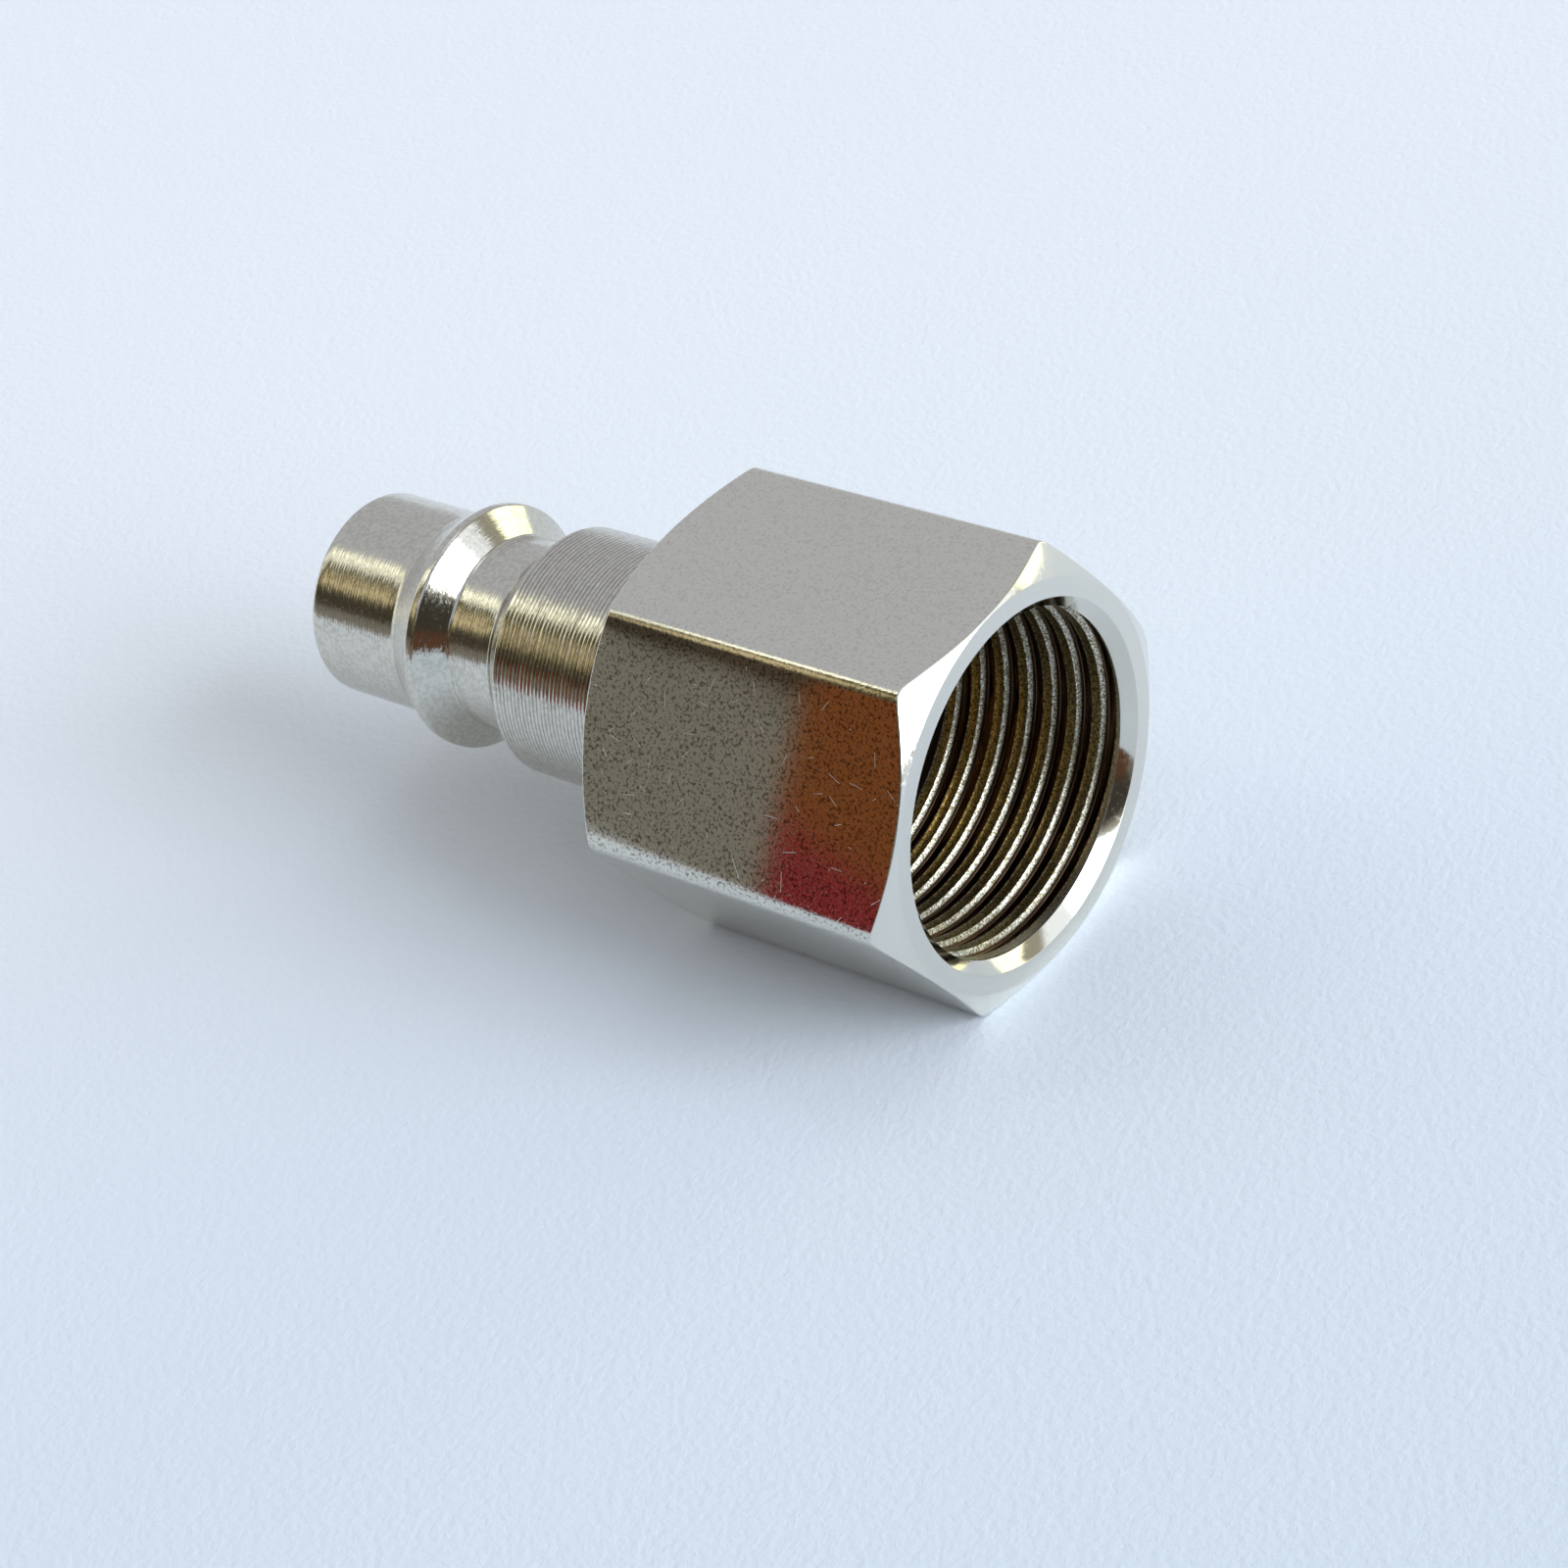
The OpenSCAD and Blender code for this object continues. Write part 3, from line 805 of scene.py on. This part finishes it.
def furrow_bottoms(sh, start, end, feed):
    """A mask of the bottoms of the furrows that tool_marks cuts between two stations."""
    count = max(1, round(abs(end - start) / feed))
    place = sh.math("DIVIDE", sh.minus(sh.polar()[0], start), (end - start) / count)
    from_bottom = sh.math("ABSOLUTE", sh.minus(sh.math("FRACT", place), 0.5))
    inside = sh.times(sh.math("GREATER_THAN", place, 0.0), sh.math("LESS_THAN", place, float(count)))
    return sh.times(sh.fall(from_bottom, 0.08, 0.30), inside)


def groove_offset(sh, x, c, s):
    """Distance along X from the centre of the nearest turn of the thread groove."""
    turn = sh.math("DIVIDE", sh.minus(sh.math("ARCTAN2", s, c), THREAD_AT), 2 * math.pi)
    turns_away = sh.minus(sh.math("DIVIDE", sh.minus(x, THREAD_X), THREAD_PITCH), turn)
    return sh.times(sh.minus(turns_away, sh.math("ROUND", turns_away)), THREAD_PITCH)


def nickel_thread():
    """The cut thread: crests thinly plated and golden, roots and deep groove painted dark brown as shade,
    port-facing sides torn and painted brighter as light, and a painted highlight along each crest's deep
    edge."""
    made, sh = material("nickel_thread")
    x, r, c, s = sh.polar()
    offset = groove_offset(sh, x, c, s)
    specks = sh.grain(0.10, detail=3, roughness=0.65)
    ragged = sh.plus(offset, sh.times(sh.minus(specks, 0.5), 0.25))
    root = sh.fall(sh.math("ABSOLUTE", offset), ROOT_HALF, ROOT_HALF + 0.03)
    crest = sh.minus(1.0, root)
    # Painted shade: deep in the groove the colour goes dark brown, as at the roots.
    deep = sh.step(r, THREAD_MINOR_R + 0.18, THREAD_MINOR_R + 0.26)
    side = sh.times(sh.step(ragged, -GROOVE_HALF - 0.08, -GROOVE_HALF), crest)
    side = sh.times(side, sh.math("LESS_THAN", offset, 0.0))
    side = sh.times(side, sh.minus(1.0, deep))
    # Painted highlight: a bright line along the deep edge of each crest.
    edge = sh.times(sh.step(offset, GROOVE_HALF - 0.06, GROOVE_HALF - 0.03),
                    sh.fall(offset, GROOVE_HALF + 0.05, GROOVE_HALF + 0.08))
    inside = sh.fall(x, X_THREAD_START - 0.65, X_THREAD_START - 0.2)
    colour = sh.mix(sh.step(specks, 0.42, 0.56), THIN_NICKEL, THIN_NICKEL_DULL)
    colour = sh.mix(inside, NICKEL, colour)
    # The roots and the deep part of the groove get the painted shade.
    colour = sh.mix(sh.times(sh.math("MAXIMUM", root, deep), inside), colour, ROOT_PAINTED_SHADE)
    # Bright torn metal on the sides that face the port, partly painted light, and the painted highlight on
    # the deep crest edges.
    torn_and_highlight = sh.mix(sh.step(specks, 0.38, 0.58), NICKEL_PAINTED_BRIGHT, THIN_NICKEL_DULL)
    colour = sh.mix(sh.math("MAXIMUM", side, edge), colour, torn_and_highlight)
    grain = sh.times(specks, crest)
    rough = sh.plus(sh.between(grain, 0.10, 0.52), sh.times(edge, 0.2))
    height = sh.plus(sh.times(sh.lathe_lines(9.0, 2.0, detail=2), 0.4), grain)
    sh.surface(Base_Color=colour, Metallic=1.0, Roughness=rough, Normal=sh.bump(height, 0.005))
    return made


def brass(name):
    """Turned brass with fine lines and a thin brown tarnish in patches."""
    made, sh = material(name)
    fine = sh.lathe_lines(9.0, 1.5, detail=3, roughness=0.7)
    tarnish = sh.step(sh.grain(1.4, detail=3), 0.4, 0.7)
    colour = sh.mix(tarnish, BRASS, BRASS_DULL)
    sh.surface(
        Base_Color=colour, Metallic=1.0, Roughness=sh.between(fine, 0.16, 0.31), Anisotropic=0.4,
        Tangent=sh.add("ShaderNodeTangent", direction_type="RADIAL", axis="X"),
        Normal=sh.bump(fine, 0.002))
    return made


def rubber():
    """Black nitrile rubber, with a faint bloom and a fine moulded grain."""
    made, sh = material("nitrile_rubber")
    bloom = sh.grain(1.1, detail=3)
    colour = sh.mix(sh.step(bloom, 0.45, 0.75), RUBBER, RUBBER_BLOOM)
    sh.surface(Base_Color=colour, Roughness=sh.between(bloom, 0.35, 0.60), Specular_IOR_Level=0.45,
               Normal=sh.bump(sh.grain(0.12, detail=2), 0.004))
    return made


def spring_wire():
    """Drawn stainless wire: a bright surface with fine drawing lines and a few dull patches."""
    made, sh = material("spring_wire")
    dull = sh.grain(0.8, detail=3)
    colour = sh.mix(sh.step(dull, 0.4, 0.7), STAINLESS, STAINLESS_DULL)
    sh.surface(Base_Color=colour, Metallic=1.0, Roughness=sh.between(dull, 0.14, 0.34),
               Normal=sh.bump(sh.lathe_lines(14.0, 2.0, detail=2), 0.0015))
    return made


def ring_steel():
    """Phosphated spring steel: near black, with a crystalline grain that is worn in places."""
    made, sh = material("phosphated_steel")
    grain = sh.grain(0.09, detail=3, roughness=0.7)
    patches = sh.step(sh.grain(1.6, detail=3), 0.4, 0.7)
    colour = sh.mix(patches, PHOSPHATE, PHOSPHATE_PALE)
    colour = sh.mix(sh.step(grain, 0.62, 0.72), colour, PHOSPHATE_WORN)
    sh.surface(Base_Color=colour, Metallic=0.8, Roughness=sh.between(grain, 0.30, 0.60),
               Normal=sh.bump(grain, 0.004))
    return made


def paper():
    """The pale sheet that the part lies on, with a painted falloff of light: a little brighter on the side
    away from the camera.
    """
    made, sh = material("pale_paper")
    x, y, z = sh.split(sh.object_place())
    azimuth = math.radians(CAMERA_AZIMUTH)
    toward_camera = sh.plus(sh.times(x, math.sin(azimuth)), sh.times(y, -math.cos(azimuth)))
    # Painted light: the paper's tint goes from lit to shaded towards the camera.
    colour = sh.mix(sh.step(toward_camera, -0.07, 0.06), PAPER_LIT_FAR, PAPER_SHADED_NEAR)
    fibre = sh.grain(0.4, detail=4, roughness=0.6)
    sh.surface(Base_Color=colour, Roughness=0.85, Specular_IOR_Level=0.2, Normal=sh.bump(fibre, 0.05))
    return made


# ---------------------------------------------------------------- room, floor and camera

# What the metal mirrors: soft-edged patches of the surroundings, painted one over the other. Azimuth
# runs from -Y towards +X, and both angles are in degrees.
ROOM = (0.57, 0.585, 0.645)
PATCHES = [
    dict(name="olive_wall", az=(-63, 30), el=(6, 80), soft=3, colour=(0.13, 0.11, 0.04)),
    dict(name="bright_blind", az=(-80, -65), el=(0, 75), soft=3, colour=(1.15, 1.15, 0.95)),
    dict(name="blind_top", az=(-74, -58), el=(48, 62), soft=2, colour=(2.1, 2.1, 1.75)),
    dict(name="gold_strip", az=(-54.5, -36), el=(27, 44), soft=1.5, colour=(0.74, 0.62, 0.38)),
    dict(name="dark_cabinet", az=(-56, 78), el=(1, 25), soft=1.5, colour=(0.225, 0.215, 0.185)),
    dict(name="dark_shelf", az=(-56, 78), el=(12, 24), soft=2, colour=(0.075, 0.056, 0.038)),
    dict(name="shelf_end", az=(-56, -40.5), el=(10.3, 24), soft=2, colour=(0.06, 0.05, 0.036)),
    dict(name="dark_screen", az=(50, 76.5), el=(6, 35), soft=3, colour=(0.055, 0.048, 0.038)),
    dict(name="brown_cloth", az=(-33.4, -22), el=(-8, 22), soft=0.2, colour=(0.20, 0.066, 0.02)),
    dict(name="red_cloth", az=(-33.2, -22), el=(-8, 8), soft=0.5, colour=(0.22, 0.028, 0.03)),
    dict(name="cloth_end", az=(40, 59), el=(-8, 12), soft=3, colour=(0.12, 0.055, 0.03)),
    dict(name="window_wall", az=(72, 179), el=(-20, 60), soft=3, colour=(0.42, 0.40, 0.33)),
    dict(name="window_curtain", az=(110, 139), el=(3, 44), soft=2.5, colour=(1.2, 1.28, 1.38)),
    dict(name="near_window", az=(77.5, 118), el=(3, 44), soft=1.5, colour=(6.1, 6.7, 7.3)),
    dict(name="far_window", az=(152, 174), el=(-10, 26), soft=2, colour=(2.5, 2.55, 1.85)),
    dict(name="far_sill", az=(140.5, 174), el=(-10, 11), soft=1.5, colour=(2.3, 2.35, 1.6)),
    dict(name="ceiling_lamp", az=(130, 235), el=(62, 86), soft=4, colour=(1.12, 1.18, 1.28)),
    dict(name="ceiling_fill", az=(-25, 45), el=(42, 84), soft=6, colour=(0.60, 0.64, 0.80)),
]


def room():
    """The surroundings as a procedural sky. The camera itself sees only a plain pale backdrop."""
    world = bpy.data.worlds.new("room")
    bpy.context.scene.world = world
    world.use_nodes = True
    sh = Shader(world.node_tree)
    x, y, z = sh.split(sh.add("ShaderNodeTexCoord", out="Generated"))
    azimuth = sh.math("DEGREES", sh.math("ARCTAN2", x, sh.times(y, -1.0)))
    elevation = sh.math("DEGREES", sh.math("ARCSINE", z))
    colour = sh.mix(0.0, ROOM, ROOM)
    for patch in PATCHES:
        mask = 1.0
        for angle, (low, high) in ((azimuth, patch["az"]), (elevation, patch["el"])):
            away = sh.math("WRAP", sh.minus(angle, (low + high) / 2), 180.0, -180.0)
            edge = (high - low) / 2
            inside = sh.fall(sh.math("ABSOLUTE", away), edge - patch["soft"], edge + patch["soft"])
            mask = sh.times(inside, mask)
        colour = sh.mix(mask, colour, patch["colour"])
    seen = sh.add("ShaderNodeLightPath", out="Is Camera Ray")
    colour = sh.mix(seen, colour, BACKDROP)
    background = sh.add("ShaderNodeBackground", {"Color": colour, "Strength": 1.0})
    sh.add("ShaderNodeOutputWorld", {"Surface": background})


def floor():
    """A large pale sheet under the resting flat."""
    half, z = 900, -FLAT_R
    obj = new_object("floor", [(-half, -half, z), (half, -half, z), (half, half, z), (-half, half, z)],
                     [(0, 1, 2, 3)])
    obj.data.materials.append(paper())


def camera():
    azimuth, elevation = math.radians(CAMERA_AZIMUTH), math.radians(CAMERA_ELEVATION)
    back = Vector((math.sin(azimuth) * math.cos(elevation), -math.cos(azimuth) * math.cos(elevation),
                   math.sin(elevation)))
    data = bpy.data.cameras.new("camera")
    data.lens = CAMERA_LENS
    data.sensor_width = 36
    data.clip_start = 0.01
    data.clip_end = 10
    obj = bpy.data.objects.new("camera", data)
    bpy.context.scene.collection.objects.link(obj)
    level = (-back).to_track_quat("-Z", "Y").to_matrix()
    roll = Matrix.Rotation(math.radians(CAMERA_ROLL), 3, "Z")
    obj.matrix_world = Matrix.Translation(CAMERA_AIM + back * CAMERA_DISTANCE) @ (level @ roll).to_4x4()
    bpy.context.scene.camera = obj


room()
floor()
camera()
bpy.context.scene.view_settings.view_transform = "Standard"

hex_body()
plug_nose()
rubber_ring("body_seal_ring", "body_seal", "plug")
rubber_ring("poppet_seal_ring", "poppet_seal", "valve")
poppet()
valve_spring()
spring_seat()
retaining_ring()
